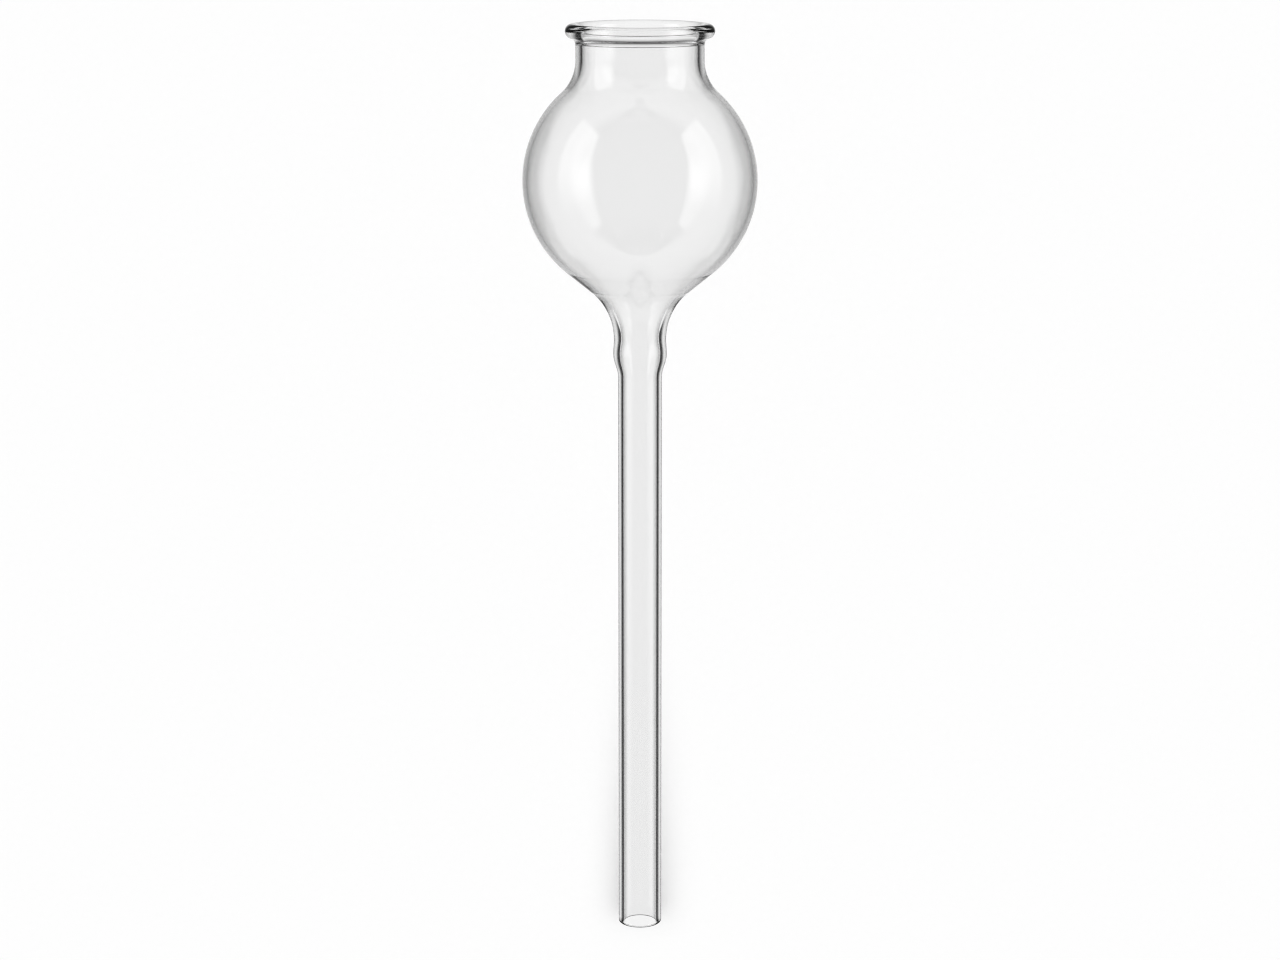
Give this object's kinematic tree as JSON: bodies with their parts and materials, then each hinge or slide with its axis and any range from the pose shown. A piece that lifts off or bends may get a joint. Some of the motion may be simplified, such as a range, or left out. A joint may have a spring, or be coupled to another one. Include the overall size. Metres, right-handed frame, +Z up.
{
  "type": "thistle funnel",
  "caption": "Glass thistle funnel: a round bulb with a short beaded neck above a long plain stem, lying at rest on the bulb and the stem's tip.",
  "frame": {"origin": "middle of the bounding box's base, on the floor that the bulb and the stem's tip rest on", "axes": "+Y runs along the funnel from the stem's tip to the rim, +Z is up, and the funnel's own axis leans up towards the rim by 7 degrees"},
  "size_m": [0.0422, 0.1688, 0.0423],
  "materials": {
    "clear_glass": "fire-polished, clear and smooth"
  },
  "bodies": {
    "root": {"glass_bulb": "clear_glass", "glass_stem": "clear_glass"}
  },
  "joints": []
}
